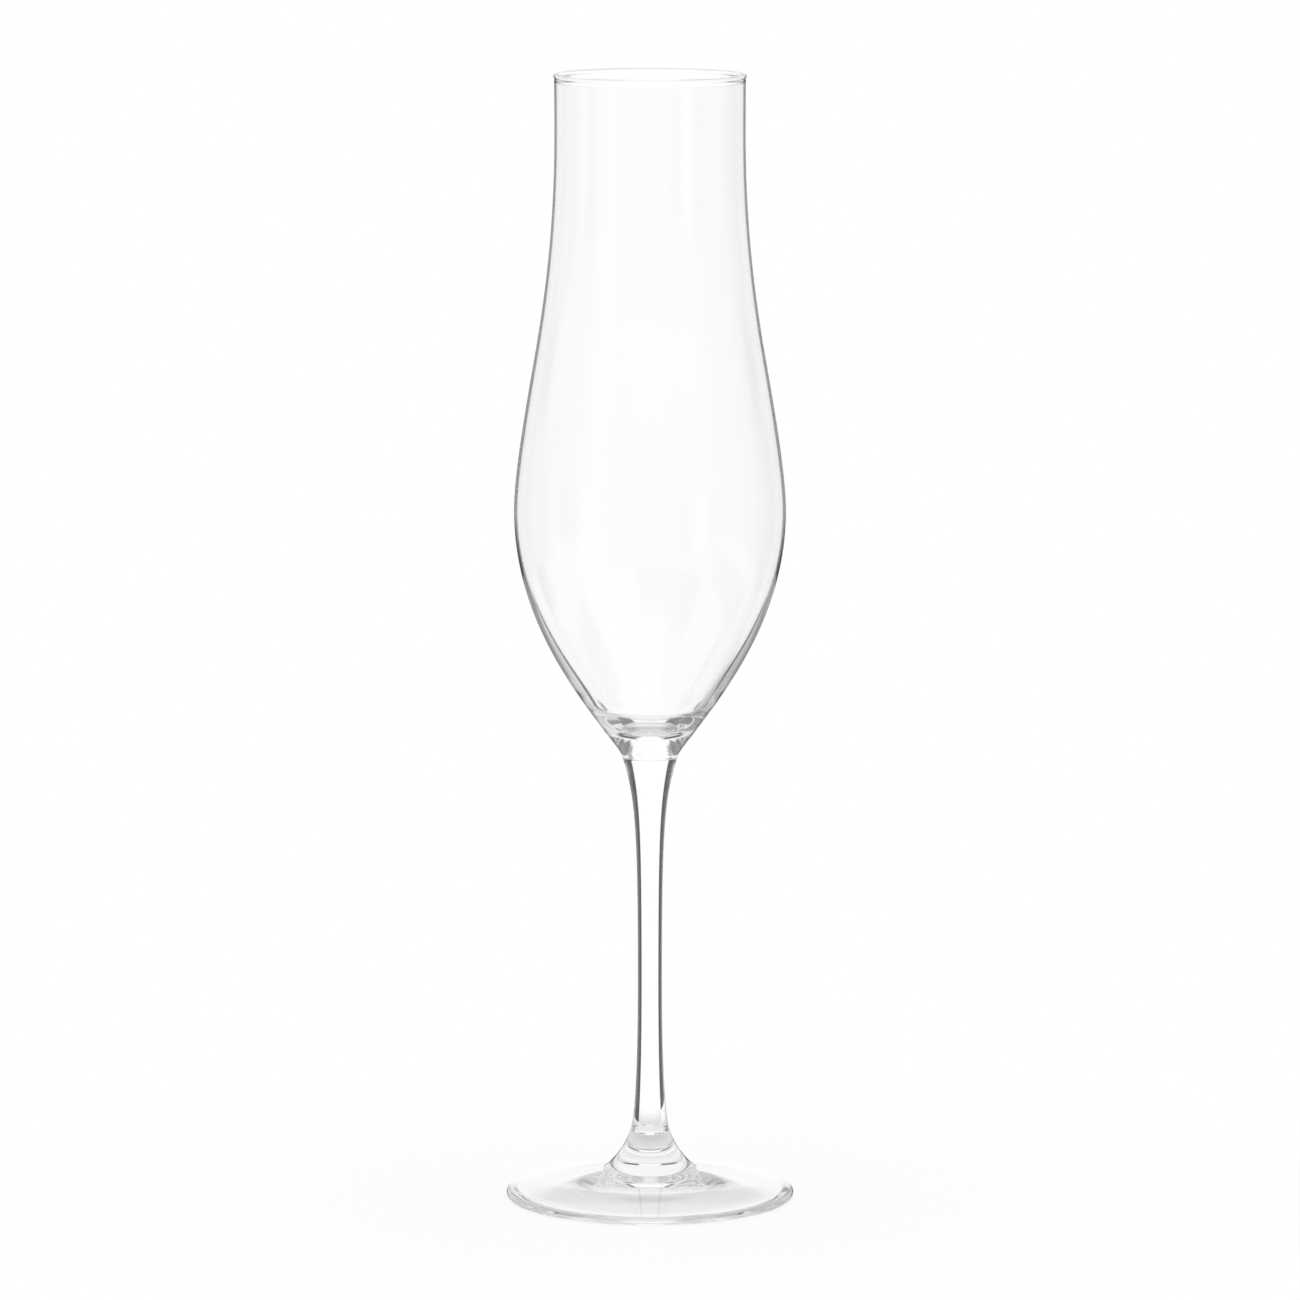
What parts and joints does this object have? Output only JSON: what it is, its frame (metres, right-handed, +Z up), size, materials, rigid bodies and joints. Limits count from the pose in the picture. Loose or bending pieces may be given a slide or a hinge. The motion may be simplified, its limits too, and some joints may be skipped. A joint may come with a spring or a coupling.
{
  "type": "champagne glass",
  "caption": "Tulip-shaped champagne flute in clear glass: thin-walled bowl with a straight lip and a round belly, on a slender waisted stem and a shallow conical foot, for sparkling wine.",
  "frame": {"origin": "centre of the ring that the foot stands on, in the plane of the table", "axes": "+Z up along the axis of revolution, from the foot to the rim; X and Y are free, because the glass is round"},
  "size_m": [0.064, 0.064, 0.25],
  "materials": {
    "clear_glass": "clear colourless glass, fire-polished all over"
  },
  "bodies": {
    "root": {"bowl": "clear_glass", "stem": "clear_glass", "foot": "clear_glass"}
  },
  "joints": []
}
